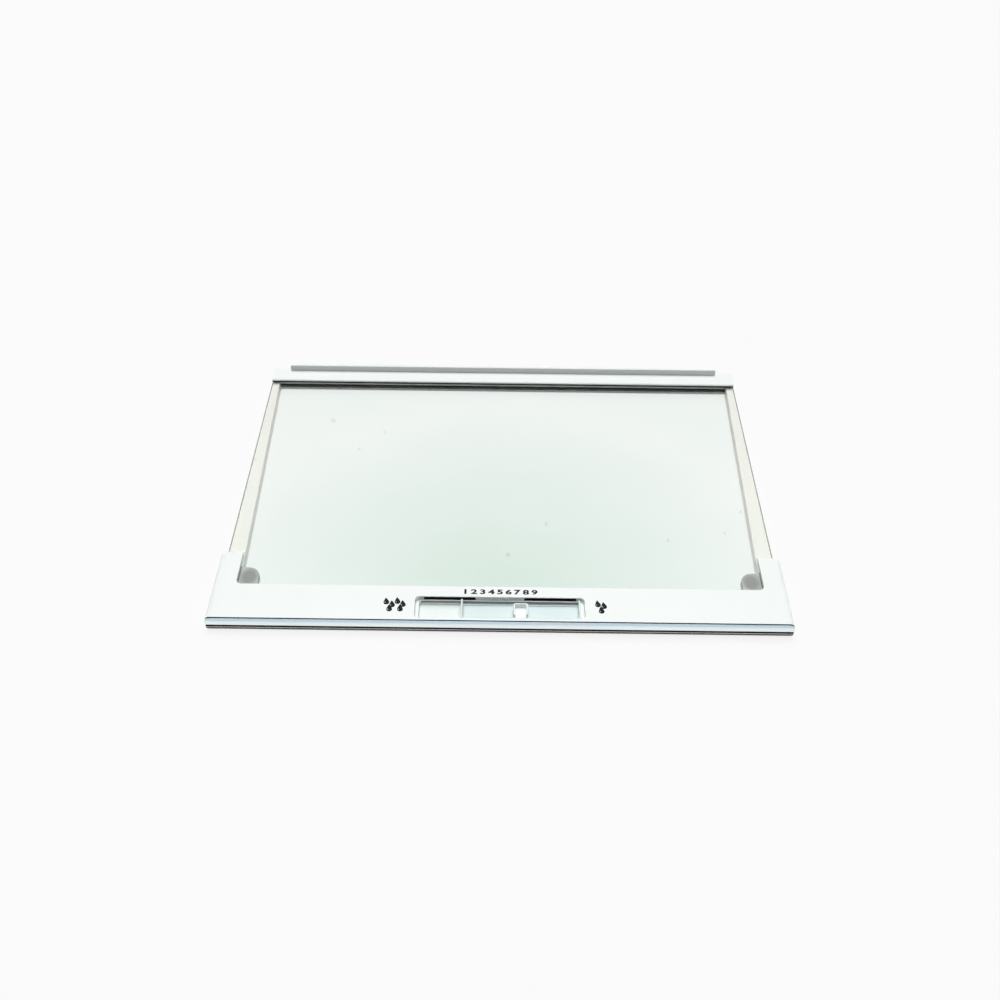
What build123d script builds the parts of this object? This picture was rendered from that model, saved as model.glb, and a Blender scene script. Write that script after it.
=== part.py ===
"""Glass cover shelf of a refrigerator's crisper drawer, with a humidity slide in its front bar.

A tempered glass panel lies on two hollow side rails. A moulded front bar with two short arms
grips the front of the glass, and a moulded rear rail grips the back. The front bar holds a
stepped pocket with a slide that opens and closes two vent slots, and carries a bright trim
strip and a dark seal on its face.

X runs along the front bar, Y from the front to the back and Z up. The pieces are drawn with the
front of the seal at Y = 0 and then moved so that the origin is under the middle of the shelf.
"""

import os

from build123d import *

# Glass panel
GLASS_WIDTH = 498.0
GLASS_DEPTH = 299.0
GLASS_THICKNESS = 4.0
GLASS_CORNER = 4.0
GLASS_ARRIS = 0.4  # ground bevel along every edge

SEAT_HEIGHT = 10.0  # of the ledges under the glass, from the surface the shelf stands on

# Walls and clearances
WALL = 2.0
RIB = 1.5
FIT = 0.3  # between pieces that seat in one another
GLASS_PLAY = 0.15  # under and over the glass
SLIDE_PLAY = 0.2  # around the pieces that slide

# Front bar
BAR_OVERHANG = 6.0  # of each end past the glass
BAR_LIP = 1.95  # plate over the glass, and the thickness of the bar's top
BAR_END_RADIUS = 4.5
FRONT_GRIP = 5.0  # of the bar over the glass
ARM_LENGTH = 40.0
ARM_COVER = 14.3  # of each arm over the side of the glass
ARM_SEAT = 9.5  # of each arm under the side of the glass, beside the corner pad
ARM_REAR_RADIUS = 4.0
ARM_RIB_SHARES = (0.25, 0.6)  # places of the ribs beside the glass, along each arm
WINDOW_RADIUS = 5.0
RIB_PITCH = 40.0
RIB_CLEAR = 8.0  # from the reach of the vent shutter to the first rib
RIB_FOOT = 2.0  # the ribs end this far above the bar's rim

# Control pocket in the front bar
POCKET_WIDTH = 148.4
POCKET_DEPTH = 23.6
POCKET_FRONT = 4.5  # from the front of the seal
POCKET_RADIUS = 4.0
POCKET_WALL = 1.8
DUCT_DEPTH = 2.8  # air space behind the pocket, where the shutter runs
POCKET_RIM_RADIUS = 0.5
LEDGE_DROP = 4.6  # from the top of the bar to the ledge around the track
LEDGE_SIDE = 3.2
LEDGE_REAR = 1.2
TRACK_DROP = 9.6  # from the top of the bar to the floor of the track
TRACK_RADIUS = 2.0
VENT_LENGTH = 45.5
VENT_SPACING = 88.5  # between the middles of the two vent slots
VENT_SILL = 0.2  # above the ledge
VENT_FALL = 2.2  # of the sill, from the pocket to the duct
VENT_RIM = 0.7  # below the top of the bar

# Humidity slide, drawn at the right end of its travel
SLIDE_LENGTH = 105.0
SLIDE_HEIGHT = 6.8  # of its front and end walls
SLIDE_RIM = 1.6
SLIDE_FLOOR = 0.9
SLIDE_CURB = 0.6  # low rim along the rear, above the slide's floor
SLIDE_RADIUS = 2.0
KNOB_WIDTH = 12.6
KNOB_DEPTH = 13.2
KNOB_SETBACK = 3.4  # from the front of the track
KNOB_DROP = 0.7  # top of the knob under the top of the bar
KNOB_RADIUS = 1.6
KNOB_EDGE = 0.5
KNOB_DISH = 4.6  # depth of the finger rest, open to the front
KNOB_WALL = 1.4  # around the finger rest
LEG_SPACING = 23.0  # close enough for the slide to hide their slot at both ends of its travel
LEG_LENGTH = 8.0
LEG_WIDTH = 5.0
BARB = 0.8
BARB_HEIGHT = 1.2

# Vent shutter under the pocket
SHUTTER_PLATE = 1.5
SHUTTER_BLADE = 1.2
SHUTTER_MARGIN = 12.0  # of the plate past the slide's legs
SHUTTER_BORDER = 4.0  # of the plate in front of the legs
BLADE_MARGIN = 1.5  # past the left vent slot
NOTCH_MARGIN = 0.6  # of each blade notch around its vent slot
NOTCH_SILL = 2.1  # of each blade notch under its vent slot

# Trim strip and seal on the front face
TRIM_DEPTH = 2.0
TRIM_HEIGHT = 8.4
TRIM_NOSE = 0.35
TRIM_REVEAL = 1.2  # width of the groove between the trim and the top of the bar
TRIM_REVEAL_DEPTH = 2.0
TRIM_FLUTE = 0.4  # depth of the hollow line along the trim's face
TRIM_FLUTE_RADIUS = 1.4
TRIM_FLUTE_HEIGHT = 5.2  # from the trim's lower edge
SEAL_HEIGHT = 5.4
SEAL_FOOT = 1.9  # from the surface the shelf stands on
SEAL_EDGE = 0.8  # thickness of the bead at its upper and lower edge
KEY_DEPTH = 1.1  # rib on the back of the trim or the seal
KEY_HEIGHT = 2.4
KEY_FIT = 0.1

# Side rails
RAIL_FRONT_WIDTH = 15.2
RAIL_REAR_WIDTH = 7.4
RAIL_WALL = 1.6
RAIL_EDGE = 0.6
SPIGOT_LENGTH = 14.0
SPIGOT_FIT = 0.15
SPIGOT_TIP = 1.2

# Corner pads under the front of the glass
PAD_REACH = 18.0  # past the inner edge of each arm
PAD_LENGTH = 23.5
PAD_RADIUS = 11.0
PAD_THICKNESS = 4.0
PAD_EDGE = 0.8
PAD_STEM_RADIUS = 2.0
PAD_STEM_FIT = 0.1

# Rear rail
REAR_GRIP = 6.0  # of the rail over the glass
REAR_FLANGE = 2.0
REAR_SHELF = 9.5  # flat top behind the glass channel
SKIRT_SETBACK = 1.7  # of the wall under the glass, from the flange's edge
LIP_HEIGHT = 7.0
LIP_THICKNESS = 3.4
LIP_CORNER = 2.5
LIP_END_GAP = 18.0  # from each end of the rail to the lip
LIP_RADIUS = 1.0
GASKET = 1.0
GASKET_SHOW = 1.0  # of the upper lip in front of the flange
GASKET_HIDE = 2.0  # of the lower lip behind the skirt's face
DRAWER_SEAL_THICKNESS = 1.2
DRAWER_SEAL_HEIGHT = 3.6
DRAWER_SEAL_DROP = 1.8  # under the top of the skirt

# Heights that follow
GLASS_UNDERSIDE = SEAT_HEIGHT + GLASS_PLAY
GLASS_TOP = GLASS_UNDERSIDE + GLASS_THICKNESS
LIP_UNDERSIDE = GLASS_TOP + GLASS_PLAY
BAR_TOP = LIP_UNDERSIDE + BAR_LIP
LEDGE_TOP = BAR_TOP - LEDGE_DROP
TRACK_TOP = BAR_TOP - TRACK_DROP
TRACK_UNDERSIDE = TRACK_TOP - WALL
VENT_LOW = LEDGE_TOP + VENT_SILL
VENT_HIGH = BAR_TOP - VENT_RIM
REAR_FLANGE_UNDERSIDE = GLASS_TOP + GASKET
REAR_TOP = REAR_FLANGE_UNDERSIDE + REAR_FLANGE
SKIRT_TOP = GLASS_UNDERSIDE - GASKET
PAD_SEAT = SEAT_HEIGHT - PAD_THICKNESS

# Places across the shelf that follow
GLASS_SIDE = GLASS_WIDTH / 2
BAR_END = GLASS_SIDE + BAR_OVERHANG
ARM_INNER = GLASS_SIDE - ARM_COVER
SEAT_INNER = GLASS_SIDE - ARM_SEAT
RAIL_FRONT_INNER = GLASS_SIDE - RAIL_FRONT_WIDTH
RAIL_REAR_INNER = GLASS_SIDE - RAIL_REAR_WIDTH
TRACK_END = POCKET_WIDTH / 2 - LEDGE_SIDE
SLIDE_RIGHT = TRACK_END - SLIDE_PLAY
SLIDE_LEFT = SLIDE_RIGHT - SLIDE_LENGTH
SLIDE_MIDDLE = (SLIDE_LEFT + SLIDE_RIGHT) / 2
SLIDE_TRAVEL = 2 * TRACK_END - 2 * SLIDE_PLAY - SLIDE_LENGTH
LEG_PLACES = [SLIDE_MIDDLE - LEG_SPACING / 2, SLIDE_MIDDLE + LEG_SPACING / 2]
VENT_PLACES = [-VENT_SPACING / 2, VENT_SPACING / 2]
VENT_END = (VENT_SPACING + VENT_LENGTH) / 2
BLADE_LEFT = -VENT_END - BLADE_MARGIN
BLADE_RIGHT = VENT_END + SLIDE_TRAVEL
BLADE_REACH = max(BLADE_RIGHT, SLIDE_TRAVEL - BLADE_LEFT) + SLIDE_PLAY

# Places from the front to the back that follow
BAR_FACE = TRIM_DEPTH
POCKET_REAR = POCKET_FRONT + POCKET_DEPTH
DUCT_FRONT = POCKET_REAR + POCKET_WALL
WEB_FRONT = DUCT_FRONT + DUCT_DEPTH
GROOVE_FRONT = WEB_FRONT + WALL
GLASS_FRONT = GROOVE_FRONT + FIT
BAR_DEPTH = GLASS_FRONT + FRONT_GRIP
ARM_END = BAR_DEPTH + ARM_LENGTH
TRACK_FRONT = POCKET_FRONT + LEDGE_REAR
TRACK_REAR = POCKET_REAR - LEDGE_REAR
TRACK_MIDDLE = (TRACK_FRONT + TRACK_REAR) / 2
GLASS_REAR = GLASS_FRONT + GLASS_DEPTH
FLANGE_FRONT = GLASS_REAR - REAR_GRIP
SKIRT_FRONT = FLANGE_FRONT + SKIRT_SETBACK
CHANNEL_BACK = GLASS_REAR + GASKET
SHELF_DEPTH = CHANNEL_BACK + WALL + REAR_SHELF

TO_ORIGIN = Pos(0, -SHELF_DEPTH / 2, 0)
SIDES = {"left": -1, "right": 1}


def block(x, y, z):
    """A box between two limits along each axis."""
    low = [min(pair) for pair in (x, y, z)]
    high = [max(pair) for pair in (x, y, z)]
    size = [b - a for a, b in zip(low, high)]
    middle = [(a + b) / 2 for a, b in zip(low, high)]
    return Pos(*middle) * Box(*size)


def across(y, z):
    """A rectangle in the section seen from the end of the shelf."""
    middle = Pos((y[0] + y[1]) / 2, (z[0] + z[1]) / 2)
    return middle * Rectangle(y[1] - y[0], z[1] - z[0])


def run(section, x):
    """A section seen from the end, drawn out along X."""
    return extrude(Plane.YZ.offset(x[0]) * section, x[1] - x[0])


def rounded_block(x, y, z, radius):
    """A block with rounded upright corners."""
    plan = RectangleRounded(x[1] - x[0], y[1] - y[0], radius)
    middle = Pos((x[0] + x[1]) / 2, (y[0] + y[1]) / 2, z[0])
    return middle * extrude(plan, z[1] - z[0])


def both(side, low, high):
    """Limits along X on one side of the shelf, from limits on its right side."""
    return tuple(sorted((side * low, side * high)))


def make_glass():
    """The panel, with rounded corners and ground edges."""
    panel = rounded_block(
        (-GLASS_SIDE, GLASS_SIDE), (GLASS_FRONT, GLASS_REAR), (GLASS_UNDERSIDE, GLASS_TOP), GLASS_CORNER
    )
    rims = panel.faces().sort_by(Axis.Z)
    return chamfer(rims[0].edges() + rims[-1].edges(), GLASS_ARRIS)


def end_outline(y):
    """Everything inside the bar's outline seen from the front, whose upper corners are round."""
    outline = Pos(0, BAR_TOP / 2) * Rectangle(2 * BAR_END, BAR_TOP)
    upper = outline.vertices().group_by(Axis.Y)[-1]
    outline = fillet(upper, BAR_END_RADIUS)
    return extrude(Plane.XZ.offset(-y[0]) * outline, y[0] - y[1])


def bar_channel():
    """The bar's section: face, top, web, glass groove and rear skirt, open below."""
    section = across((BAR_FACE, BAR_DEPTH), (0, BAR_TOP))
    section -= across((GROOVE_FRONT, BAR_DEPTH), (SEAT_HEIGHT, LIP_UNDERSIDE))
    section -= across((BAR_FACE + WALL, WEB_FRONT), (0, BAR_TOP - BAR_LIP))
    section -= across((GROOVE_FRONT, BAR_DEPTH - WALL), (0, SEAT_HEIGHT - WALL))
    return run(section, (-BAR_END, BAR_END))


def key_grooves():
    """The two grooves along the bar's face for the keys of the seal and the trim."""
    sections = [
        across((BAR_FACE, BAR_FACE + KEY_DEPTH + KEY_FIT), (low - KEY_FIT, high + KEY_FIT))
        for low, high in key_heights()
    ]
    return [run(section, (-BAR_END, BAR_END)) for section in sections]


def key_heights():
    """Heights of the ribs that key the seal and the trim into the bar's face."""
    seal = SEAL_FOOT + SEAL_HEIGHT / 2
    trim = BAR_TOP - TRIM_HEIGHT / 2
    return [(middle - KEY_HEIGHT / 2, middle + KEY_HEIGHT / 2) for middle in (seal, trim)]


def bar_arm(side):
    """One end of the bar: its end wall, and the arm's hollow seat under the side of the glass."""
    wall_inner = BAR_END - WALL
    glass_clear = GLASS_SIDE + FIT
    arm = block(both(side, wall_inner, BAR_END), (BAR_FACE, ARM_END), (0, BAR_TOP))
    arm += block(both(side, glass_clear, BAR_END), (ARM_END - WALL, ARM_END), (0, BAR_TOP))
    pad_end = BAR_DEPTH + PAD_LENGTH + FIT
    for inner, y in ((SEAT_INNER, (BAR_DEPTH - WALL, pad_end + WALL)), (RAIL_FRONT_INNER, (pad_end, ARM_END))):
        arm += block(both(side, inner, BAR_END), y, (SEAT_HEIGHT - WALL, SEAT_HEIGHT))
        arm += block(both(side, inner, inner + WALL), y, (0, SEAT_HEIGHT))
    arm += block(both(side, RAIL_FRONT_INNER, SEAT_INNER), (pad_end, pad_end + WALL), (0, SEAT_HEIGHT))
    arm += block(both(side, RAIL_FRONT_INNER, BAR_END), (ARM_END - WALL, ARM_END), (0, SEAT_HEIGHT))
    for share in ARM_RIB_SHARES:
        rib_at = BAR_DEPTH + share * ARM_LENGTH
        arm += block(both(side, glass_clear, wall_inner), (rib_at, rib_at + RIB), (0, BAR_TOP - BAR_LIP))
    return arm


def bar_lip():
    """The plate over the glass, with the window's rounded corners."""
    plate = block((-BAR_END, BAR_END), (GROOVE_FRONT, ARM_END), (LIP_UNDERSIDE, BAR_TOP))
    window = rounded_block(
        (-ARM_INNER, ARM_INNER), (BAR_DEPTH, ARM_END + ARM_LENGTH), (0, 2 * BAR_TOP), WINDOW_RADIUS
    )
    return plate - window


def pad_plan(side, outer, front, z):
    """The outline of a corner pad or of its shelf: under the arm's edge, round at its free corner."""
    plan = rounded_block(
        both(side, ARM_INNER - PAD_REACH, outer + PAD_RADIUS),
        (BAR_DEPTH - PAD_RADIUS, BAR_DEPTH + PAD_LENGTH), z, PAD_RADIUS,
    )
    return plan & block(both(side, 0, outer), (front, BAR_DEPTH + PAD_LENGTH), z)


def pad_stem_place(side):
    """Where the stem of a corner pad stands."""
    return side * (ARM_INNER - PAD_REACH / 2), BAR_DEPTH + PAD_LENGTH / 2


def pad_shelf(side):
    """A rounded shelf behind the bar that holds one corner pad, with a wall beside it and a stem hole."""
    outer = SEAT_INNER + WALL / 2
    depth = (BAR_DEPTH - WALL, BAR_DEPTH + PAD_LENGTH)
    shelf = pad_plan(side, outer, depth[0], (PAD_SEAT - WALL, PAD_SEAT))
    shelf += block(both(side, ARM_INNER + FIT, outer), depth, (PAD_SEAT, SEAT_HEIGHT))
    x, y = pad_stem_place(side)
    return shelf - Pos(x, y, PAD_SEAT) * Cylinder(PAD_STEM_RADIUS + PAD_STEM_FIT, 3 * WALL)


def rail_inner(y):
    """How far from the middle the inner edge of a side rail is, at a place from the front to the back."""
    share = (y - ARM_END) / (SKIRT_FRONT - ARM_END)
    return RAIL_FRONT_INNER + share * (RAIL_REAR_INNER - RAIL_FRONT_INNER)


def tapered_rail(side, y, inset):
    """A solid side rail between two places, smaller by an inset all round."""
    outer = GLASS_SIDE - inset
    corners = [(outer, y[0]), (outer, y[1]), (rail_inner(y[1]) + inset, y[1]), (rail_inner(y[0]) + inset, y[0])]
    plan = Polygon(*[(side * x, place) for x, place in corners], align=None)
    return Pos(0, 0, inset) * extrude(plan, SEAT_HEIGHT - 2 * inset, dir=(0, 0, 1))


def spigot(side, y):
    """A plug on the front bar or the rear rail that fills the end of a hollow side rail."""
    return tapered_rail(side, y, RAIL_WALL + SPIGOT_FIT)


def front_spigot(side):
    """A spigot behind an arm of the front bar, with a tapered tip."""
    plug = spigot(side, (ARM_END - WALL, ARM_END + SPIGOT_LENGTH))
    return chamfer(plug.faces().sort_by(Axis.Y)[-1].edges(), SPIGOT_TIP)


def rear_spigot(side):
    """A spigot in front of the rear rail, with a tapered tip."""
    plug = spigot(side, (SKIRT_FRONT - SPIGOT_LENGTH, SKIRT_FRONT + WALL))
    return chamfer(plug.faces().sort_by(Axis.Y)[0].edges(), SPIGOT_TIP)


def rib_places():
    """Places along the bar for its ribs, clear of the shutter's travel and of the ends."""
    first = BLADE_REACH + RIB_CLEAR
    count = int((BAR_END - WALL - first) // RIB_PITCH) + 1
    return [first + number * RIB_PITCH for number in range(count)]


def pocket_tub():
    """The walls and floor of the control pocket, before it is hollowed."""
    half = POCKET_WIDTH / 2 + POCKET_WALL
    return rounded_block(
        (-half, half), (BAR_FACE, DUCT_FRONT), (TRACK_UNDERSIDE, BAR_TOP), POCKET_RADIUS
    )


def pocket_hollow():
    """The stepped pocket: a wide upper part and the track that the slide runs in."""
    half = POCKET_WIDTH / 2
    upper = rounded_block((-half, half), (POCKET_FRONT, POCKET_REAR), (LEDGE_TOP, 2 * BAR_TOP), POCKET_RADIUS)
    track = rounded_block(
        (-TRACK_END, TRACK_END), (TRACK_FRONT, TRACK_REAR), (TRACK_TOP, BAR_TOP), TRACK_RADIUS
    )
    return upper + track


def vent_section():
    """A vent slot's section, whose sill falls away from the pocket."""
    corners = [
        (POCKET_REAR, VENT_LOW),
        (DUCT_FRONT, VENT_LOW - VENT_FALL),
        (DUCT_FRONT, VENT_HIGH),
        (POCKET_REAR, VENT_HIGH),
    ]
    return make_face(Polyline(*corners, close=True))


def pocket_openings():
    """The two vent slots with the duct behind them, and the slots for the slide's legs."""
    duct = block((-BLADE_REACH, BLADE_REACH), (DUCT_FRONT, WEB_FRONT), (LEDGE_TOP, VENT_HIGH))
    openings = [duct]
    for middle in VENT_PLACES:
        span = (middle - VENT_LENGTH / 2, middle + VENT_LENGTH / 2)
        openings.append(run(vent_section(), span))
    half_width = LEG_WIDTH / 2 + SLIDE_PLAY
    for middle in LEG_PLACES:
        span = (
            middle - LEG_LENGTH / 2 - SLIDE_TRAVEL - SLIDE_PLAY,
            middle + LEG_LENGTH / 2 + SLIDE_PLAY,
        )
        depth = (TRACK_MIDDLE - half_width, TRACK_MIDDLE + half_width)
        openings.append(block(span, depth, (0, LEDGE_TOP)))
    return openings


def make_front_bar():
    """The moulded front bar with its arms, pocket, ribs, pad shelves and spigots."""
    bar = bar_channel() + bar_lip()
    for side in SIDES.values():
        bar += bar_arm(side)
    bar += pocket_tub()
    bar -= pocket_hollow()
    bar &= end_outline((BAR_FACE, ARM_END))
    rear_corners = [
        edge
        for edge in bar.edges().filter_by(Axis.Z)
        if abs(abs(edge.center().X) - BAR_END) < FIT and abs(edge.center().Y - ARM_END) < FIT
    ]
    bar = fillet(rear_corners, min(ARM_REAR_RADIUS, BAR_OVERHANG - FIT))
    rim = [
        edge
        for edge in bar.edges()
        if abs(edge.center().Z - BAR_TOP) < GLASS_PLAY
        and abs(edge.center().X) < POCKET_WIDTH / 2 + POCKET_WALL / 2
        and POCKET_FRONT - GLASS_PLAY < edge.center().Y < POCKET_REAR + GLASS_PLAY
    ]
    bar = fillet(rim, POCKET_RIM_RADIUS)
    for side in SIDES.values():
        bar += pad_shelf(side)
        bar += front_spigot(side)
        for place in rib_places():
            bar += block(
                both(side, place, place + RIB), (BAR_FACE + WALL / 2, WEB_FRONT + WALL / 2),
                (RIB_FOOT, BAR_TOP - BAR_LIP / 2),
            )
    for opening in pocket_openings() + key_grooves():
        bar -= opening
    return bar


def make_trim():
    """The bright strip: a narrow nose behind a dark groove, a hollow line and a key rib behind."""
    low = BAR_TOP - TRIM_HEIGHT
    section = across((0, TRIM_DEPTH), (low, BAR_TOP))
    section = fillet(section.vertices().sort_by(Axis.X)[:2], TRIM_NOSE)
    section -= across((TRIM_DEPTH - TRIM_REVEAL, TRIM_DEPTH), (BAR_TOP - TRIM_REVEAL_DEPTH, BAR_TOP))
    flute = Pos(TRIM_FLUTE - TRIM_FLUTE_RADIUS, low + TRIM_FLUTE_HEIGHT) * Circle(TRIM_FLUTE_RADIUS)
    key_low, key_high = key_heights()[1]
    key = across((TRIM_DEPTH, TRIM_DEPTH + KEY_DEPTH), (key_low, key_high))
    strip = run(section - flute + key, (-BAR_END, BAR_END))
    return strip & end_outline((0, BAR_DEPTH))


def make_front_seal():
    """The dark bead under the trim, bulged in front, with a key rib behind."""
    low, high = SEAL_FOOT, SEAL_FOOT + SEAL_HEIGHT
    edge = BAR_FACE - SEAL_EDGE
    bulge = ThreePointArc((edge, low), (0, (low + high) / 2), (edge, high))
    back = Polyline((edge, high), (BAR_FACE, high), (BAR_FACE, low), (edge, low))
    key_low, key_high = key_heights()[0]
    key = across((BAR_FACE, BAR_FACE + KEY_DEPTH), (key_low, key_high))
    return run(make_face([bulge, back]) + key, (-BAR_END, BAR_END))


def make_side_rail(side):
    """A hollow rail under one side of the glass, narrower towards the back."""
    rail = tapered_rail(side, (ARM_END + FIT, SKIRT_FRONT - FIT), 0)
    ends = rail.faces().sort_by(Axis.Y)
    end_edges = ends[0].edges() + ends[-1].edges()
    upright = rail.edges().filter_by(Axis.Z)
    long_edges = [edge for edge in rail.edges() if edge not in end_edges and edge not in upright]
    rail = fillet(long_edges, RAIL_EDGE)
    return rail - tapered_rail(side, (ARM_END, SKIRT_FRONT), RAIL_WALL)


def make_corner_pad(side):
    """A soft pad between a pad shelf and the glass, with a stem that plugs into the shelf."""
    pad = pad_plan(side, ARM_INNER, BAR_DEPTH + FIT, (PAD_SEAT, SEAT_HEIGHT))
    pad = fillet(pad.faces().sort_by(Axis.Z)[-1].edges(), PAD_EDGE)
    x, y = pad_stem_place(side)
    low, high = PAD_SEAT - WALL, PAD_SEAT + WALL / 2
    return pad + Pos(x, y, (low + high) / 2) * Cylinder(PAD_STEM_RADIUS, high - low)


def make_slide():
    """The humidity slide: a tray with ears over the rear ledge, a knob and two barbed legs."""
    low = TRACK_TOP + SLIDE_PLAY
    high = low + SLIDE_HEIGHT
    floor = low + SLIDE_FLOOR
    front, rear = TRACK_FRONT + SLIDE_PLAY, TRACK_REAR - SLIDE_PLAY
    inside = (SLIDE_LEFT + SLIDE_RIM, SLIDE_RIGHT - SLIDE_RIM)
    slide = rounded_block((SLIDE_LEFT, SLIDE_RIGHT), (front, rear), (low, high), SLIDE_RADIUS)
    slide -= rounded_block(
        inside, (front + SLIDE_RIM, rear - SLIDE_RIM), (floor, 2 * high), SLIDE_RADIUS / 2
    )
    slide -= block(inside, (rear - SLIDE_RIM - SLIDE_RADIUS, rear), (floor + SLIDE_CURB, 2 * high))
    ear_depth = (rear - SLIDE_RADIUS, POCKET_REAR - 2 * SLIDE_PLAY)
    for span in ((SLIDE_LEFT, inside[0]), (inside[1], SLIDE_RIGHT)):
        slide += block(span, ear_depth, (LEDGE_TOP + SLIDE_PLAY, high))
    slide += slide_knob(low)
    for middle in LEG_PLACES:
        slide += slide_leg(middle, floor)
    return slide


def slide_knob(low):
    """The knob, hollowed into a finger rest with walls behind it and beside it."""
    x = (SLIDE_MIDDLE - KNOB_WIDTH / 2, SLIDE_MIDDLE + KNOB_WIDTH / 2)
    y = (TRACK_FRONT + KNOB_SETBACK, TRACK_FRONT + KNOB_SETBACK + KNOB_DEPTH)
    top = BAR_TOP - KNOB_DROP
    knob = rounded_block(x, y, (low, top), KNOB_RADIUS)
    knob = fillet(knob.faces().sort_by(Axis.Z)[-1].edges(), KNOB_EDGE)
    return knob - block((x[0] + KNOB_WALL, x[1] - KNOB_WALL), (0, y[1] - KNOB_WALL), (top - KNOB_DISH, 2 * top))


def slide_leg(middle, top):
    """A leg through the pocket's floor, with barbs that hold the shutter from below."""
    half_width = LEG_WIDTH / 2
    depth = (TRACK_MIDDLE - half_width, TRACK_MIDDLE + half_width)
    plate_low = shutter_heights()[0]
    barb_top = plate_low - SLIDE_PLAY
    leg = block((middle - LEG_LENGTH / 2, middle + LEG_LENGTH / 2), depth, (barb_top - BARB_HEIGHT, top))
    hook = Plane.XZ.offset(-depth[0]) * Polygon(
        (middle - LEG_LENGTH / 2 - BARB, barb_top),
        (middle + LEG_LENGTH / 2 + BARB, barb_top),
        (middle + LEG_LENGTH / 2, barb_top - BARB_HEIGHT),
        (middle - LEG_LENGTH / 2, barb_top - BARB_HEIGHT),
        align=None,
    )
    return leg + extrude(hook, -LEG_WIDTH)


def shutter_heights():
    """Underside and top of the shutter's plate."""
    high = TRACK_UNDERSIDE - SLIDE_PLAY
    return high - SHUTTER_PLATE, high


def make_shutter():
    """The vent shutter: a plate held by the slide's legs and a notched blade behind the pocket."""
    low, high = shutter_heights()
    blade_front = DUCT_FRONT + SLIDE_PLAY
    blade_rear = blade_front + SHUTTER_BLADE
    reach = LEG_LENGTH / 2 + SHUTTER_MARGIN
    shutter = block(
        (LEG_PLACES[0] - reach, LEG_PLACES[1] + reach),
        (TRACK_MIDDLE - LEG_WIDTH / 2 - SHUTTER_BORDER, blade_rear), (low, high),
    )
    shutter += block((BLADE_LEFT, BLADE_RIGHT), (blade_front, blade_rear), (low, VENT_HIGH - SLIDE_PLAY))
    for middle in VENT_PLACES:
        half = VENT_LENGTH / 2 + NOTCH_MARGIN
        shutter -= block(
            (middle - half, middle + half), (blade_front - WALL, blade_rear + WALL),
            (VENT_LOW - VENT_FALL - NOTCH_SILL, BAR_TOP),
        )
    half_length = LEG_LENGTH / 2 + SLIDE_PLAY
    half_width = LEG_WIDTH / 2 + SLIDE_PLAY
    for middle in LEG_PLACES:
        shutter -= block(
            (middle - half_length, middle + half_length),
            (TRACK_MIDDLE - half_width, TRACK_MIDDLE + half_width), (0, BAR_TOP),
        )
    return shutter


def make_rear_rail():
    """The moulded rear rail: glass channel, flat top, rear wall and an upright lip."""
    wall_front = SHELF_DEPTH - WALL
    section = across((FLANGE_FRONT, SHELF_DEPTH), (0, REAR_TOP))
    section -= across((FLANGE_FRONT, CHANNEL_BACK), (SKIRT_TOP, REAR_FLANGE_UNDERSIDE))
    section -= across((FLANGE_FRONT, SKIRT_FRONT), (0, SKIRT_TOP))
    section -= across((SKIRT_FRONT + WALL, CHANNEL_BACK), (0, SKIRT_TOP - WALL))
    section -= across((CHANNEL_BACK + WALL, wall_front), (0, REAR_FLANGE_UNDERSIDE))
    section -= across((CHANNEL_BACK, CHANNEL_BACK + WALL), (0, SKIRT_TOP - WALL))
    rail = run(section, (-GLASS_SIDE, GLASS_SIDE))
    for side in SIDES.values():
        rail += block(both(side, GLASS_SIDE - WALL, GLASS_SIDE), (CHANNEL_BACK, SHELF_DEPTH), (0, REAR_TOP))
        rail += rear_spigot(side)
    ribs = int(GLASS_SIDE // RIB_PITCH)
    for number in range(-ribs, ribs + 1):
        place = number * RIB_PITCH
        rail += block(
            (place - RIB / 2, place + RIB / 2), (SKIRT_FRONT + WALL, wall_front + WALL / 2),
            (RIB_FOOT, SKIRT_TOP - WALL / 2),
        )
    lip_half = GLASS_SIDE - LIP_END_GAP
    lip_depth = (SHELF_DEPTH - LIP_THICKNESS, SHELF_DEPTH)
    lip = block((-lip_half, lip_half), lip_depth, (REAR_TOP, REAR_TOP + LIP_HEIGHT))
    corners = lip.edges().filter_by(Axis.Y).group_by(Axis.Z)[-1]
    lip = fillet(corners, LIP_CORNER)
    lip = fillet(lip.faces().sort_by(Axis.Z)[-1].edges().filter_by(Axis.X), LIP_RADIUS)
    return rail + lip


def make_gasket():
    """The dark glazing strip around the rear edge of the glass."""
    upper_front = FLANGE_FRONT - GASKET_SHOW
    lower_front = SKIRT_FRONT + GASKET_HIDE
    section = across((upper_front, CHANNEL_BACK), (GLASS_TOP, REAR_FLANGE_UNDERSIDE))
    section += across((GLASS_REAR, CHANNEL_BACK), (SKIRT_TOP, REAR_FLANGE_UNDERSIDE))
    section += across((lower_front, CHANNEL_BACK), (SKIRT_TOP, GLASS_UNDERSIDE))
    return run(section, (-GLASS_SIDE, GLASS_SIDE))


def make_drawer_seal():
    """The dark foam strip under the glass, on the face of the rear rail."""
    top = SKIRT_TOP - DRAWER_SEAL_DROP
    depth = (SKIRT_FRONT - DRAWER_SEAL_THICKNESS, SKIRT_FRONT)
    half = rail_inner(depth[0]) - FIT
    return block((-half, half), depth, (top - DRAWER_SEAL_HEIGHT, top))


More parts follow.
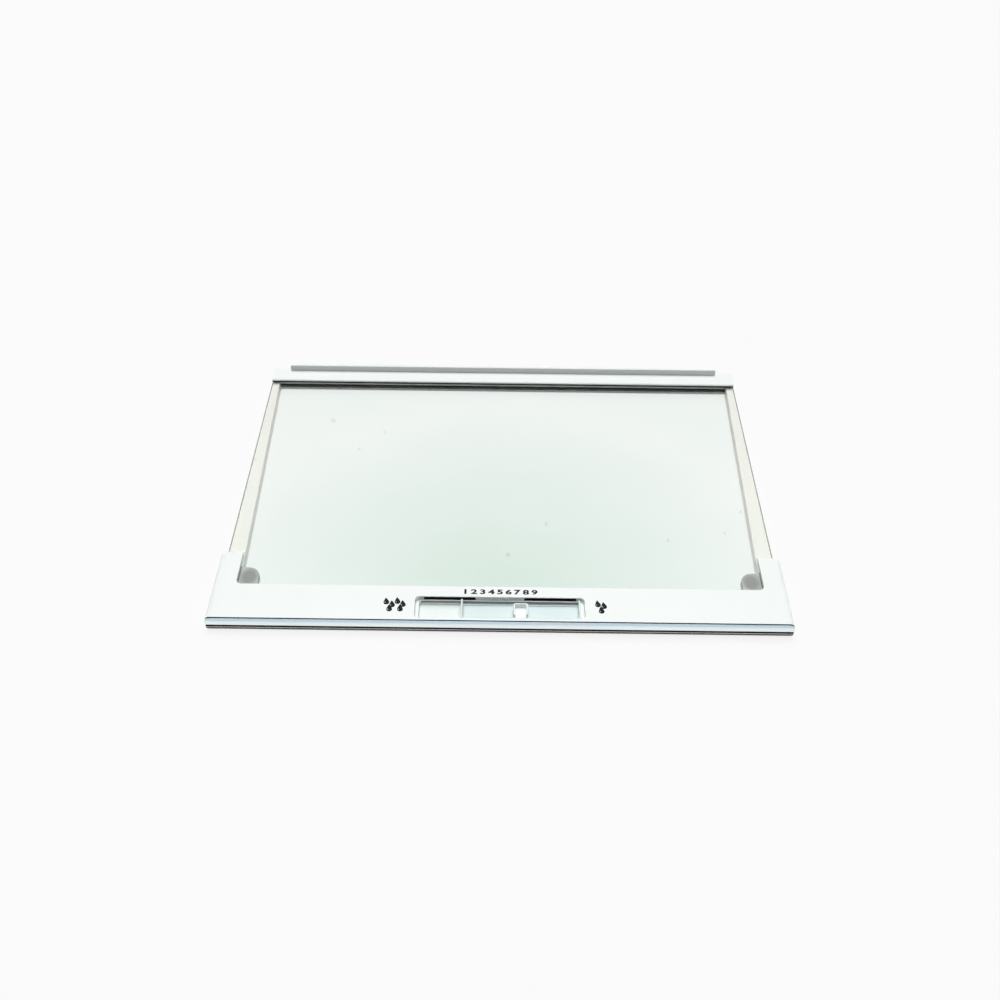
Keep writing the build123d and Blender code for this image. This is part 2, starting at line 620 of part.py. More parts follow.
def main():
    """Builds every piece and writes it to its own file."""
    pieces = {
        "glass_panel": make_glass(),
        "front_bar": make_front_bar(),
        "front_trim": make_trim(),
        "front_seal": make_front_seal(),
        "humidity_slide": make_slide(),
        "vent_shutter": make_shutter(),
        "rear_rail": make_rear_rail(),
        "rear_glazing_gasket": make_gasket(),
        "rear_drawer_seal": make_drawer_seal(),
    }
    for name, side in SIDES.items():
        pieces[f"{name}_side_rail"] = make_side_rail(side)
        pieces[f"{name}_corner_pad"] = make_corner_pad(side)
    os.makedirs("parts", exist_ok=True)
    for name, piece in pieces.items():
        export_step(TO_ORIGIN * piece, f"parts/{name}.step")
    print(f"slide travel {SLIDE_TRAVEL:.2f} mm")


main()
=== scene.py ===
"""Looks of the crisper cover shelf: materials, a rounded edge, printed marks, light and the photo's camera."""

import math

import bmesh
import bpy
from mathutils import Matrix, Vector


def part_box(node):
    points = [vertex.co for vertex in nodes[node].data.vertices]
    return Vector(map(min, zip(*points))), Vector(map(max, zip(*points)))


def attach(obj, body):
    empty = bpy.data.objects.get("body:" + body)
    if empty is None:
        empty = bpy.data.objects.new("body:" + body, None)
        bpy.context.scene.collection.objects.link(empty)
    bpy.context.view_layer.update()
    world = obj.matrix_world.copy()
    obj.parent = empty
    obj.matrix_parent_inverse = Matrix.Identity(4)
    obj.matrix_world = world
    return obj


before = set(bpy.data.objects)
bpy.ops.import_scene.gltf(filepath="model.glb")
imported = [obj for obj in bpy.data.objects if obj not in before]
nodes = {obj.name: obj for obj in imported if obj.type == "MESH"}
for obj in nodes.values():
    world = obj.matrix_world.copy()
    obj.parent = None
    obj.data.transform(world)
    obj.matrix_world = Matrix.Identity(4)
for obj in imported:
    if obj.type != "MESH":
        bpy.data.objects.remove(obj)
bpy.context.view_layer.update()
scene = bpy.context.scene
scene.view_settings.view_transform = "Standard"

MM = 0.001
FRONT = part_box("front_seal")[0].y
BAR_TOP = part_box("front_bar")[1].z
PRINT_LIFT = 0.03 * MM
PRINT_THICKNESS = 0.04 * MM


# Node helpers

class Tree:
    """The node tree of a material or of the sky, with short calls to add and link nodes."""

    def __init__(self, owner, output="ShaderNodeOutputMaterial"):
        self.owner = owner
        owner.use_nodes = True
        self.tree = owner.node_tree
        self.tree.nodes.clear()
        self.output = self.add(output)

    def add(self, kind, **values):
        node = self.tree.nodes.new(kind)
        for key, value in values.items():
            setattr(node, key, value)
        return node

    def link(self, source, target):
        self.tree.links.new(source, target)

    def coordinates(self):
        return self.add("ShaderNodeTexCoord").outputs["Object"]

    def noise(self, vector, scale, detail=3.0, rough=0.5, stretch=None):
        if stretch:
            mapping = self.add("ShaderNodeMapping")
            mapping.inputs["Scale"].default_value = stretch
            self.link(vector, mapping.inputs["Vector"])
            vector = mapping.outputs["Vector"]
        node = self.add("ShaderNodeTexNoise")
        node.inputs["Scale"].default_value = scale
        node.inputs["Detail"].default_value = detail
        node.inputs["Roughness"].default_value = rough
        self.link(vector, node.inputs["Vector"])
        return node.outputs["Fac"]

    def ramp(self, value, stops):
        node = self.add("ShaderNodeValToRGB")
        elements = node.color_ramp.elements
        while len(elements) < len(stops):
            elements.new(0.5)
        for element, (place, colour) in zip(elements, stops):
            element.position = place
            element.color = (*colour, 1.0)
        self.link(value, node.inputs["Fac"])
        return node.outputs["Color"]

    def grey(self, value, low, high, start=0.0, end=1.0):
        node = self.add("ShaderNodeMapRange")
        node.inputs["From Min"].default_value = start
        node.inputs["From Max"].default_value = end
        node.inputs["To Min"].default_value = low
        node.inputs["To Max"].default_value = high
        self.link(value, node.inputs["Value"])
        return node.outputs["Result"]

    def mix(self, factor, first, second, blend="MIX"):
        node = self.add("ShaderNodeMix", data_type="RGBA", blend_type=blend)
        self.put(factor, node.inputs[0])
        self.put(first, node.inputs[6])
        self.put(second, node.inputs[7])
        return node.outputs[2]

    def math(self, operation, first, second=0.0):
        node = self.add("ShaderNodeMath", operation=operation)
        self.put(first, node.inputs[0])
        self.put(second, node.inputs[1])
        return node.outputs[0]

    def height(self, place, name):
        """How far up a CAD node a place is, from zero at its lowest to one at its highest."""
        split = self.add("ShaderNodeSeparateXYZ")
        self.link(place, split.inputs["Vector"])
        home = nodes[name].matrix_world.translation.z
        low, high = (corner.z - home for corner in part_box(name))
        return self.grey(split.outputs["Z"], 0.0, 1.0, low, high)

    def within(self, place, low, high):
        """One inside a box and zero outside it."""
        split = self.add("ShaderNodeSeparateXYZ")
        self.link(place, split.inputs["Vector"])
        inside = 1.0
        for axis, start, end in zip("XYZ", low, high):
            value = split.outputs[axis]
            inside = self.math("MULTIPLY", inside, self.math("GREATER_THAN", value, start))
            inside = self.math("MULTIPLY", inside, self.math("LESS_THAN", value, end))
        return inside

    def put(self, value, socket):
        if isinstance(value, bpy.types.NodeSocket):
            self.link(value, socket)
        elif isinstance(value, tuple):
            socket.default_value = (*value, 1.0)
        else:
            socket.default_value = value

    def principled(self, **values):
        shader = self.add("ShaderNodeBsdfPrincipled")
        for key, value in values.items():
            self.put(value, shader.inputs[key.replace("_", " ")])
        self.link(shader.outputs["BSDF"], self.output.inputs["Surface"])
        return shader

    def bump(self, height, strength, distance, edge_radius):
        node = self.add("ShaderNodeBump")
        node.inputs["Strength"].default_value = strength
        node.inputs["Distance"].default_value = distance
        self.link(height, node.inputs["Height"])
        bevel = self.add("ShaderNodeBevel", samples=4)
        bevel.inputs["Radius"].default_value = edge_radius
        self.link(bevel.outputs["Normal"], node.inputs["Normal"])
        return node.outputs["Normal"]


# Materials

def white_plastic(name, low, high, corner_shade_tone, corner_shade_most, reach, shades=()):
    """Satin white moulding: faint clouding, fine spark texture and painted shade in the corners, from ambient
    occlusion.

    Each of the shades is a place, as two corners, and the tone painted there, as painted shade or painted
    light.
    """
    t = Tree(bpy.data.materials.new(name))
    place = t.coordinates()
    cloud = t.noise(place, 9.0, 4.0)
    tone = t.ramp(cloud, [(0.3, low), (0.7, high)])
    # Painted shade: darker towards corners and recesses, by ambient occlusion
    corner = t.add("ShaderNodeAmbientOcclusion", samples=6, only_local=True)
    corner.inputs["Distance"].default_value = reach
    corner_shade = t.grey(corner.outputs["AO"], corner_shade_most, 0.0, 0.35, 0.95)
    colour = t.mix(corner_shade, tone, corner_shade_tone)
    # Painted shade, and painted light, in the listed places
    for (low_corner, high_corner), shade in shades:
        colour = t.mix(t.within(place, low_corner, high_corner), colour, shade)
    rough = t.grey(t.noise(place, 60.0, 3.0), 0.3, 0.42, 0.3, 0.7)
    spark = t.noise(place, 1800.0, 2.0)
    t.principled(
        Base_Color=colour, Roughness=rough, IOR=1.49,
        Normal=t.bump(spark, 0.06, 0.05 * MM, 0.35 * MM),
    )
    return t.owner


GLASS_LOW, GLASS_HIGH = (0.968, 1.0, 0.985), (0.984, 1.0, 0.992)
GROUND_EDGE = (0.12, 0.115, 0.105)
GROUND_ROUGH = 0.4  # on top of the haze
SPECK_TONE = (0.4, 0.42, 0.4)
SPECK_SHARE = 0.2
SPECK_CELLS = 14.0  # to a metre
SPECK_SIZE = 0.035  # of a cell, at most
# Painted shade in the glass, darkest towards the front middle
GLASS_SHADE_TONE = (0.71, 0.835, 0.77)
GLASS_SHADE_MIDDLE = (0.0, -0.16, 0.0)  # metres from the frame's origin
GLASS_SHADE_REACH = (0.28, 0.27, 1.0)
GLASS_PASSES = (0.99, 0.995, 0.985)  # of the light, at each face


def glass():
    """Pale green tempered glass, with painted shade towards the front middle, smears, specks and ground edges.

    Light that falls on it passes straight through, so that what lies below isn't in the dark.
    """
    t = Tree(bpy.data.materials.new("tempered_glass"))
    place = t.coordinates()
    smear = t.noise(place, 7.0, 5.0, 0.6, (1.0, 1.7, 1.0))
    tint = t.ramp(smear, [(0.3, GLASS_LOW), (0.7, GLASS_HIGH)])
    # Painted shade, darker towards the front middle
    spread = t.add("ShaderNodeMapping", vector_type="TEXTURE")
    spread.inputs["Location"].default_value = GLASS_SHADE_MIDDLE
    spread.inputs["Scale"].default_value = GLASS_SHADE_REACH
    t.link(place, spread.inputs["Vector"])
    glass_shade = t.add("ShaderNodeTexGradient", gradient_type="SPHERICAL")
    t.link(spread.outputs["Vector"], glass_shade.inputs["Vector"])
    tint = t.mix(glass_shade.outputs["Fac"], tint, GLASS_SHADE_TONE)
    cells = t.add("ShaderNodeTexVoronoi", voronoi_dimensions="2D", feature="F1")
    cells.inputs["Scale"].default_value = SPECK_CELLS
    t.link(place, cells.inputs["Vector"])
    sparse = t.noise(place, 5.0, 1.0)
    size = t.grey(sparse, 0.0, SPECK_SIZE, 0.4, 0.7)
    speck = t.math("LESS_THAN", cells.outputs["Distance"], size)
    tint = t.mix(t.math("MULTIPLY", speck, SPECK_SHARE), tint, SPECK_TONE)
    normal = t.add("ShaderNodeNewGeometry").outputs["True Normal"]
    split = t.add("ShaderNodeSeparateXYZ")
    t.link(normal, split.inputs["Vector"])
    upright = t.math("LESS_THAN", t.math("ABSOLUTE", split.outputs["Z"]), 0.9)
    colour = t.mix(upright, tint, GROUND_EDGE)
    haze = t.grey(smear, 0.06, 0.12, 0.3, 0.7)
    rough = t.math("ADD", haze, t.math("MULTIPLY", upright, GROUND_ROUGH))
    shader = t.principled(
        Base_Color=colour, Roughness=rough, IOR=1.5, Transmission_Weight=1.0,
    )
    path = t.add("ShaderNodeLightPath")
    clear = t.add("ShaderNodeBsdfTransparent")
    clear.inputs["Color"].default_value = (*GLASS_PASSES, 1.0)
    both = t.add("ShaderNodeMixShader")
    lit = t.math("MAXIMUM", path.outputs["Is Shadow Ray"], path.outputs["Is Diffuse Ray"])
    t.link(lit, both.inputs["Fac"])
    t.link(shader.outputs["BSDF"], both.inputs[1])
    t.link(clear.outputs["BSDF"], both.inputs[2])
    t.link(both.outputs["Shader"], t.output.inputs["Surface"])
    return t.owner


# Painted shade and highlight bands of the trim, in place of what it mirrors, with how far up it they lie
TRIM_SHADE_BANDS = [
    (0.0, (0.6, 0.66, 0.7)), (0.06, (0.94, 1.0, 1.0)), (0.56, (0.92, 1.0, 1.0)),
    (0.64, (0.6, 0.76, 0.86)), (0.88, (0.6, 0.76, 0.86)), (0.94, (0.64, 0.77, 0.86)),
]
DRAWN_TONE = (0.82, 0.86, 0.88)


def silver_trim():
    """Satin silver-blue foil on a plastic strip, with painted bands of shade and highlight up its face, drawn
    along its length.
    """
    t = Tree(bpy.data.materials.new("silver_trim"))
    place = t.coordinates()
    drawn = t.noise(place, 240.0, 4.0, 0.6, (0.04, 1.0, 1.0))
    shade_bands = t.ramp(t.height(place, "front_trim"), TRIM_SHADE_BANDS)
    tone = t.mix(t.grey(drawn, 0.0, 0.3, 0.3, 0.7), shade_bands, DRAWN_TONE, "MULTIPLY")
    # Painted shade in the seam along the trim's top
    tone = t.mix(t.within(place, *region("front_trim", *SEAM)), tone, GAP_SHADE)
    rough = t.grey(drawn, 0.26, 0.36, 0.3, 0.7)
    t.principled(
        Base_Color=tone, Metallic=0.9, Roughness=rough,
        Normal=t.bump(drawn, 0.04, 0.02 * MM, 0.25 * MM),
    )
    return t.owner


# Tones of a painted highlight along a bead
HIGHLIGHT_LOW, HIGHLIGHT_HIGH = (0.85, 0.84, 0.84), (0.97, 0.96, 0.96)
HIGHLIGHT_SOFT = 0.03  # of the height, at each edge of a painted highlight
# Painted shade in the middle of a corner pad
SPOT_SHADE = (0.3, 0.29, 0.29)
SPOT_REACH = 0.6  # of the piece's width and depth


def rubber(name, dark, light, rough, scale, painted_highlight=None, shine=0.5, shaded_middle=None):
    """Smooth moulded rubber with a soft bloom, perhaps with a painted highlight along it or painted shade in
    its middle.
    """
    t = Tree(bpy.data.materials.new(name))
    place = t.coordinates()
    bloom = t.noise(place, scale, 4.0, 0.6)
    tone = t.ramp(bloom, [(0.35, dark), (0.7, light)])
    # Painted highlight: a pale band part way up the piece
    if painted_highlight:
        node, foot, top = painted_highlight
        none, full = (0.0, 0.0, 0.0), (1.0, 1.0, 1.0)
        highlight_mask = t.ramp(t.height(place, node), [
            (foot - HIGHLIGHT_SOFT, none), (foot, full), (top, full), (top + HIGHLIGHT_SOFT, none),
        ])
        streak = t.noise(place, 60.0, 3.0, 0.6, (0.1, 1.0, 1.0))
        tone = t.mix(highlight_mask, tone, t.ramp(streak, [(0.3, HIGHLIGHT_LOW), (0.7, HIGHLIGHT_HIGH)]))
    # Painted shade, darker towards the middle of the piece
    if shaded_middle:
        low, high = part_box(shaded_middle)
        home = nodes[shaded_middle].matrix_world.translation
        reach = (high - low) * SPOT_REACH
        spot = t.add("ShaderNodeMapping", vector_type="TEXTURE")
        spot.inputs["Location"].default_value = (low + high) / 2 - home
        spot.inputs["Scale"].default_value = (reach.x, reach.y, 1.0)
        t.link(place, spot.inputs["Vector"])
        middle = t.add("ShaderNodeTexGradient", gradient_type="SPHERICAL")
        t.link(spot.outputs["Vector"], middle.inputs["Vector"])
        tone = t.mix(t.grey(middle.outputs["Fac"], 0.0, 1.0, 0.05, 0.55), tone, SPOT_SHADE)
    gloss = t.grey(bloom, rough - 0.05, rough + 0.08, 0.3, 0.7)
    t.principled(
        Base_Color=tone, Roughness=gloss, IOR=1.52, Specular_IOR_Level=shine,
        Normal=t.bump(t.noise(place, 900.0), 0.05, 0.05 * MM, 0.2 * MM),
    )
    return t.owner


def ink():
    """Black pad-printed ink, slightly uneven."""
    t = Tree(bpy.data.materials.new("printed_ink"))
    patchy = t.noise(t.coordinates(), 700.0, 3.0)
    tone = t.ramp(patchy, [(0.3, INK_LOW), (0.75, INK_HIGH)])
    t.principled(Base_Color=tone, Roughness=t.grey(patchy, 0.45, 0.6), Specular_IOR_Level=DULL)
    return t.owner


WHITE_LOW, WHITE_HIGH = (0.885, 0.92, 0.915), (0.92, 0.94, 0.935)
BAR_LOW, BAR_HIGH = (0.905, 0.935, 0.93), (0.935, 0.95, 0.945)
REAR_LOW, REAR_HIGH = (0.9, 0.935, 0.935), (0.93, 0.95, 0.95)
# Painted light: the rails lighter than the other white plastic, under the glass
RAIL_LIT_LOW, RAIL_LIT_HIGH = (0.985, 0.95, 0.91), (0.99, 0.96, 0.93)
# Painted shade: the whole slide darker and bluer than the other white plastic, down in its pocket
SLIDE_SHADE_LOW, SLIDE_SHADE_HIGH = (0.71, 0.8, 0.82), (0.76, 0.845, 0.86)
PAD_LOW, PAD_HIGH = (0.54, 0.53, 0.53), (0.62, 0.61, 0.61)
BLACK_LOW, BLACK_HIGH = (0.004, 0.004, 0.005), (0.01, 0.01, 0.011)
INK_LOW, INK_HIGH = (0.006, 0.006, 0.007), (0.02, 0.021, 0.022)
DULL = 0.15  # specular level of what hardly mirrors
# Tones of the painted shade in corners and recesses
CORNER_SHADE = (0.45, 0.465, 0.46)
SLIDE_CORNER_SHADE = (0.36, 0.42, 0.43)
BEAD_HIGHLIGHT = ("front_seal", 0.53, 0.66)  # painted highlight along the front bead: the node, and from and to how far up it

# Painted shade: near black in the duct behind the vents and in the seam along the trim's top, where only shade
# falls
GAP_SHADE = (0.012, 0.012, 0.013)
# Painted shade on the step wall in the slide's pocket
STEP_SHADE = (0.22, 0.23, 0.235)
# Painted shade on the pocket's rear wall between the vents
WALL_SHADE = (0.6, 0.62, 0.62)
# Painted shade: the pocket floor darker and bluer than the rest of the bar
POCKET_SHADE = (0.81, 0.87, 0.86)
# Painted light: the knob lighter than the rest of the slide
KNOB_LIGHT = (0.93, 0.965, 0.965)
# Painted shade on the front face of the rear rail's lip
LIP_SHADE = (0.765, 0.77, 0.785)

# Places in millimetres: half width, from and to behind the front, from and to below the bar's top,
# where less than zero is above it
DUCT = (104.0, 28.15, 32.9, 17.0, 0.72)
WALL = (86.0, 27.95, 28.14, 4.55, 0.7)
STEP = (72.0, 26.8, 27.0, 7.4, 4.65)
POCKET_FLOOR = (75.0, 4.6, 27.0, 9.8, 9.4)
SEAM = (256.0, 0.75, 2.05, 2.05, 0.12)
KNOB = (6.4, 9.0, 22.4, 8.4, 0.6)
LIP_FACE = (240.0, 343.0, 343.25, -1.0, -6.9)


def region(name, half, near, far, deep, shallow):
    """The corners of a place on a CAD node, in its own coordinates and about its middle from side to side."""
    low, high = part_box(name)
    middle = (low.x + high.x) / 2
    home = nodes[name].matrix_world.translation
    near_corner = Vector((middle - half * MM, FRONT + near * MM, BAR_TOP - deep * MM))
    far_corner = Vector((middle + half * MM, FRONT + far * MM, BAR_TOP - shallow * MM))
    return near_corner - home, far_corner - home


white = white_plastic("white_plastic", WHITE_LOW, WHITE_HIGH, CORNER_SHADE, 0.2, 4 * MM)
bar_white = white_plastic(
    "front_bar_plastic", BAR_LOW, BAR_HIGH, CORNER_SHADE, 0.25, 3 * MM,
    [
        (region("front_bar", *DUCT), GAP_SHADE), (region("front_bar", *SEAM), GAP_SHADE),
        (region("front_bar", *WALL), WALL_SHADE), (region("front_bar", *STEP), STEP_SHADE),
        (region("front_bar", *POCKET_FLOOR), POCKET_SHADE),
    ],
)
rear_white = white_plastic(
    "rear_rail_plastic", REAR_LOW, REAR_HIGH, CORNER_SHADE, 0.0, 3 * MM,
    [(region("rear_rail", *LIP_FACE), LIP_SHADE)],
)
slide_white = white_plastic(
    "slide_plastic", SLIDE_SHADE_LOW, SLIDE_SHADE_HIGH, SLIDE_CORNER_SHADE, 0.25, 2 * MM,
    [(region("humidity_slide", *KNOB), KNOB_LIGHT)],
)
rail_white = white_plastic("rail_plastic", RAIL_LIT_LOW, RAIL_LIT_HIGH, CORNER_SHADE, 0.05, 4 * MM)
black_rubber = rubber("black_seal", BLACK_LOW, BLACK_HIGH, 0.4, 30.0, shine=DULL)
bead_rubber = rubber("front_bead", BLACK_LOW, BLACK_HIGH, 0.4, 30.0, BEAD_HIGHLIGHT, DULL)
pad_rubber = {
    name: rubber(f"{name}_rubber", PAD_LOW, PAD_HIGH, 0.6, 90.0, shaded_middle=name)
    for name in ("left_corner_pad", "right_corner_pad")
}
black_ink = ink()
finish_of = {
    "glass_panel": glass(),
    "front_bar": bar_white,
    "humidity_slide": slide_white,
    "vent_shutter": white,
    "left_side_rail": rail_white,
    "right_side_rail": rail_white,
    "rear_rail": rear_white,
    "front_trim": silver_trim(),
    "front_seal": bead_rubber,
    "rear_glazing_gasket": black_rubber,
    "rear_drawer_seal": black_rubber,
    **pad_rubber,
}
for name, material in finish_of.items():
    mesh = nodes[name].data
    mesh.materials.clear()
    mesh.materials.append(material)


# Rounded front edge of the rear rail's top

EDGE_REACH = 1.2 * MM
EDGE_HEIGHT = 1.48 * MM
EDGE_GAP = 0.5 * MM  # over the gasket
EDGE_STEPS = 6
GASKET_SHOWS = 1.0 * MM  # in front of the rail


def rear_edge():
    """A quarter round along the rear rail, over the gasket's lip."""
    gasket_low, gasket_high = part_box("rear_glazing_gasket")
    rail_low, rail_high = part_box("rear_rail")
    back, foot = gasket_low.y + GASKET_SHOWS, gasket_high.z + EDGE_GAP
    section = [(back, foot)]
    for step in range(EDGE_STEPS + 1):
        turn = math.pi / 2 * step / EDGE_STEPS
        section.append((back - EDGE_REACH * math.sin(turn), foot + EDGE_HEIGHT * math.cos(turn)))
    bm = bmesh.new()
    end = bm.faces.new([bm.verts.new((rail_low.x, y, z)) for y, z in section])
    drawn = bmesh.ops.extrude_face_region(bm, geom=[end])
    far = [item for item in drawn["geom"] if isinstance(item, bmesh.types.BMVert)]
    bmesh.ops.translate(bm, verts=far, vec=(rail_high.x - rail_low.x, 0, 0))
    bmesh.ops.recalc_face_normals(bm, faces=bm.faces)
    mesh = bpy.data.meshes.new("rear_rail_edge")
    bm.to_mesh(mesh)
    bm.free()
    mesh.materials.append(rear_white)
    piece = bpy.data.objects.new("rear_rail_edge", mesh)
    scene.collection.objects.link(piece)
    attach(piece, "shelf")


rear_edge()


# Printed marks on the front bar, with lengths in millimetres

DROP_HEIGHT = 7.9
DROP_WIDTH = 7.0
DROP_TILT = math.radians(8)
DROP_STEPS = 20
DROP_TAPER = 1.4  # a higher power draws the tip out
SHINE_RADII = (1.5, 1.15)
SHINE_DROP = 0.9  # below the middle of its drop
SHINE_START = math.radians(170)
SHINE_SWEEP = math.radians(75)
SHINE_STEPS = 8
LEFT_DROPS = [(-99.4, 22.2), (-94.2, 19.1), (-96.3, 14.5), (-89.7, 22.9), (-84.8, 19.6), (-86.9, 14.6)]
RIGHT_DROPS = [(85.6, 22.0), (90.8, 20.2), (88.4, 15.0)]
NUMBERS = "123456789"
NUMBER_SPAN = 61.0  # between the middles of the first and the last
NUMBER_MIDDLE = 34.0
NUMBER_HEIGHT = 5.4
NUMBER_STRETCH = 1.55  # from side to side
NUMBER_WEIGHT = 0.035  # added around each outline, where the font's size is 1


def on_bar(x, y):
    """A place on top of the front bar, from millimetres right of the middle and behind the front."""
    return Vector((x * MM, FRONT + y * MM, BAR_TOP + PRINT_LIFT))


def drop_outline(middle):
    """A drop that stands on its round end, leaning a little to the left."""
    points = []
    for step in range(DROP_STEPS):
        turn = 2 * math.pi * step / DROP_STEPS
        across = DROP_WIDTH / 2 * math.sin(turn) * math.sin(turn / 2) ** DROP_TAPER
        along = DROP_HEIGHT / 2 * math.cos(turn)
        x = across * math.cos(DROP_TILT) - along * math.sin(DROP_TILT)
        y = across * math.sin(DROP_TILT) + along * math.cos(DROP_TILT)
        points.append(on_bar(middle[0] + x, middle[1] + y))
    return points


def shine_outline(middle):
    """The bare crescent in a drop, low on its left side."""
    points = []
    outer, inner = SHINE_RADII
    there = range(SHINE_STEPS + 1)
    for radius, order in ((outer, there), (inner, reversed(there))):
        for step in order:
            turn = SHINE_START + SHINE_SWEEP * step / SHINE_STEPS
            x = middle[0] + radius * math.cos(turn)
            y = middle[1] - SHINE_DROP + radius * math.sin(turn)
            points.append(on_bar(x, y))
    return points


def dress(name, mesh):
    """Puts a printed mesh on the shelf, in ink."""
    mesh.materials.clear()
    mesh.materials.append(black_ink)
    piece = bpy.data.objects.new(name, mesh)
    scene.collection.objects.link(piece)
    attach(piece, "shelf")


def printed(name, loops):
    """A thin printed layer from outlines, each with its bare spots."""
    bm = bmesh.new()
    for outline, holes in loops:
        edges = []
        for loop in [outline] + holes:
            corners = [bm.verts.new(point) for point in loop]
            edges += [bm.edges.new((a, b)) for a, b in zip(corners, corners[1:] + corners[:1])]
        bmesh.ops.triangle_fill(bm, use_beauty=True, edges=edges, normal=(0, 0, 1))
    faces = list(bm.faces)
    raised = bmesh.ops.extrude_face_region(bm, geom=faces)
    lifted = [item for item in raised["geom"] if isinstance(item, bmesh.types.BMVert)]
    bmesh.ops.translate(bm, verts=lifted, vec=(0, 0, PRINT_THICKNESS))
    bmesh.ops.recalc_face_normals(bm, faces=bm.faces)
    mesh = bpy.data.meshes.new(name)
    bm.to_mesh(mesh)
    bm.free()
    dress(name, mesh)


def drops(name, places):
    printed(name, [(drop_outline(place), [shine_outline(place)]) for place in places])


def numbers():
    """A plain scale of bold numbers, where the six is the nine turned round."""
    step = NUMBER_SPAN / (len(NUMBERS) - 1)
    for order, text in enumerate(NUMBERS):
        curve = bpy.data.curves.new(f"number_{text}_curve", "FONT")
        curve.body = "9" if text == "6" else text
        curve.size = 1.0
        curve.offset = NUMBER_WEIGHT
        source = bpy.data.objects.new(f"number_{text}_source", curve)
        scene.collection.objects.link(source)
        bpy.context.view_layer.update()
        mesh = bpy.data.meshes.new_from_object(source)
        bpy.data.objects.remove(source)
        low = min(v.co.y for v in mesh.vertices)
        high = max(v.co.y for v in mesh.vertices)
        left = min(v.co.x for v in mesh.vertices)
        right = max(v.co.x for v in mesh.vertices)
        size = NUMBER_HEIGHT * MM / (high - low)
        middle = on_bar(order * step - NUMBER_SPAN / 2, NUMBER_MIDDLE)
        turned = -1 if text == "6" else 1
        for vertex in mesh.vertices:
            x = (vertex.co.x - (left + right) / 2) * size * NUMBER_STRETCH * turned
            y = (vertex.co.y - (low + high) / 2) * size * turned
            vertex.co = (middle.x + x, middle.y + y, middle.z + PRINT_THICKNESS)
        dress(f"scale_number_{text}", mesh)


drops("drops_left", LEFT_DROPS)
drops("drops_right", RIGHT_DROPS)
numbers()


# Floor, light and camera

FLOOR_SIZE = 12.0
FLOOR_DROP = 0.2 * MM
FLOOR_BOUNCE = (0.8, 0.8, 0.8)
FLOOR_SHOWN = (0.965, 0.96, 0.965)
FLOOR_THROUGH = (0.98, 1.0, 0.985)  # as seen through the glass
FLOOR_EVEN = 0.88  # share of the floor's look that no shadow reaches
BACKDROP = 0.963  # strength of the low sky, where it is looked at
BACKDROP_HEIGHTS = (0.4, 0.55)
SKY_AROUND = 0.08
SKY_OVERHEAD = 8.7
SKY_FOCUS = 16.0
SKY_TILT = math.radians(12)  # of the light overhead, towards the back
SKY_MIRRORED = 0.25  # of its strength, in what mirrors it
SKY_LEFT = (1.0, 0.99, 0.95)
SKY_RIGHT = (0.94, 0.99, 1.0)


def seen_directly(t):
    """One for camera, glossy and transmission rays, and zero for light that only bounces."""
    path = t.add("ShaderNodeLightPath")
    seen = t.math("MAXIMUM", path.outputs["Is Camera Ray"], path.outputs["Is Glossy Ray"])
    return t.math("MAXIMUM", seen, path.outputs["Is Transmission Ray"])


def make_floor():
    mesh = bpy.data.meshes.new("floor")
    half = FLOOR_SIZE / 2
    corners = [(-half, -half), (half, -half), (half, half), (-half, half)]
    mesh.from_pydata([(x, y, -FLOOR_DROP) for x, y in corners], [], [(0, 1, 2, 3)])
    t = Tree(bpy.data.materials.new("floor"))
    seen = seen_directly(t)
    through = t.add("ShaderNodeLightPath").outputs["Is Transmission Ray"]
    shown = t.mix(through, FLOOR_SHOWN, FLOOR_THROUGH)
    diffuse = t.add("ShaderNodeBsdfDiffuse")
    t.link(t.mix(seen, FLOOR_BOUNCE, shown), diffuse.inputs["Color"])
    even = t.add("ShaderNodeEmission")
    t.link(shown, even.inputs["Color"])
    both = t.add("ShaderNodeMixShader")
    t.link(t.math("MULTIPLY", seen, FLOOR_EVEN), both.inputs["Fac"])
    t.link(diffuse.outputs["BSDF"], both.inputs[1])
    t.link(even.outputs["Emission"], both.inputs[2])
    t.link(both.outputs["Shader"], t.output.inputs["Surface"])
    mesh.materials.append(t.owner)
    floor = bpy.data.objects.new("floor", mesh)
    scene.collection.objects.link(floor)


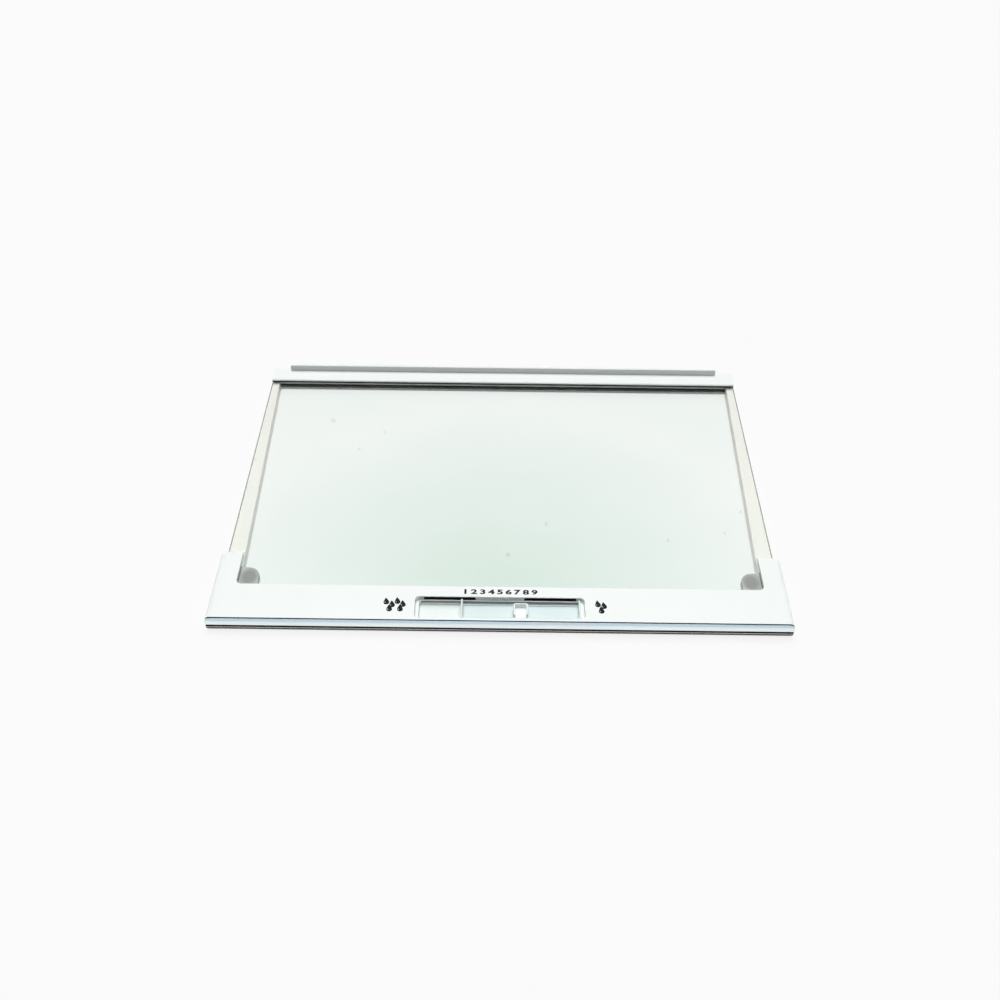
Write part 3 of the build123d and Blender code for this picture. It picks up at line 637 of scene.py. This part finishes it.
def make_sky():
    """Soft light, strongest overhead, warmer on the left and cooler on the right, over a pale backdrop."""
    t = Tree(bpy.data.worlds.new("studio"), "ShaderNodeOutputWorld")
    direction = t.add("ShaderNodeTexCoord").outputs["Generated"]
    split = t.add("ShaderNodeSeparateXYZ")
    t.link(direction, split.inputs["Vector"])
    towards = t.add("ShaderNodeVectorMath", operation="DOT_PRODUCT")
    t.link(direction, towards.inputs[0])
    towards.inputs[1].default_value = (0.0, math.sin(SKY_TILT), math.cos(SKY_TILT))
    overhead = t.math("POWER", t.math("MAXIMUM", towards.outputs["Value"], 0.0), SKY_FOCUS)
    mirrored = t.add("ShaderNodeLightPath").outputs["Is Glossy Ray"]
    light = t.grey(overhead, SKY_AROUND, SKY_AROUND + SKY_OVERHEAD)
    light = t.math("MULTIPLY", light, t.grey(mirrored, 1.0, SKY_MIRRORED))
    low_sky = t.grey(split.outputs["Z"], BACKDROP, 0.0, *BACKDROP_HEIGHTS)
    backdrop = t.math("MULTIPLY", seen_directly(t), low_sky)
    tint = t.mix(t.grey(split.outputs["X"], 0.0, 1.0, -1.0), SKY_LEFT, SKY_RIGHT)
    background = t.add("ShaderNodeBackground")
    t.link(t.math("MAXIMUM", light, backdrop), background.inputs["Strength"])
    t.link(t.mix(backdrop, tint, (1.0, 1.0, 1.0)), background.inputs["Color"])
    t.link(background.outputs["Background"], t.output.inputs["Surface"])
    scene.world = t.owner


CAMERA_PLACE = (0.9, -562.8, 730.3)  # mm from the middle of the shelf's front, on the floor
CAMERA_PITCH = math.radians(45.105)
CAMERA_YAW = math.radians(-0.167)
CAMERA_ROLL = math.radians(0.6)
FOCAL_PIXELS = 1050.0
FRAME_PIXELS = 1000.0
SENSOR = 36.0


def make_camera():
    """The photograph's camera."""
    forward = Vector((
        math.sin(CAMERA_YAW) * math.cos(CAMERA_PITCH),
        math.cos(CAMERA_YAW) * math.cos(CAMERA_PITCH),
        -math.sin(CAMERA_PITCH),
    ))
    right = Vector((math.cos(CAMERA_YAW), -math.sin(CAMERA_YAW), 0))
    up = right.cross(forward)
    turned_right = right * math.cos(CAMERA_ROLL) + up * math.sin(CAMERA_ROLL)
    turned_up = up * math.cos(CAMERA_ROLL) - right * math.sin(CAMERA_ROLL)
    data = bpy.data.cameras.new("photo_camera")
    data.sensor_width = SENSOR
    data.lens = SENSOR * FOCAL_PIXELS / FRAME_PIXELS
    data.clip_start = 0.01
    data.clip_end = 50.0
    camera = bpy.data.objects.new("photo_camera", data)
    turn = Matrix((turned_right, turned_up, -forward)).transposed().to_4x4()
    x, y, z = (value * MM for value in CAMERA_PLACE)
    camera.matrix_world = Matrix.Translation((x, FRONT + y, z)) @ turn
    scene.collection.objects.link(camera)
    scene.camera = camera


make_floor()
make_sky()
make_camera()

bpy.context.view_layer.update()
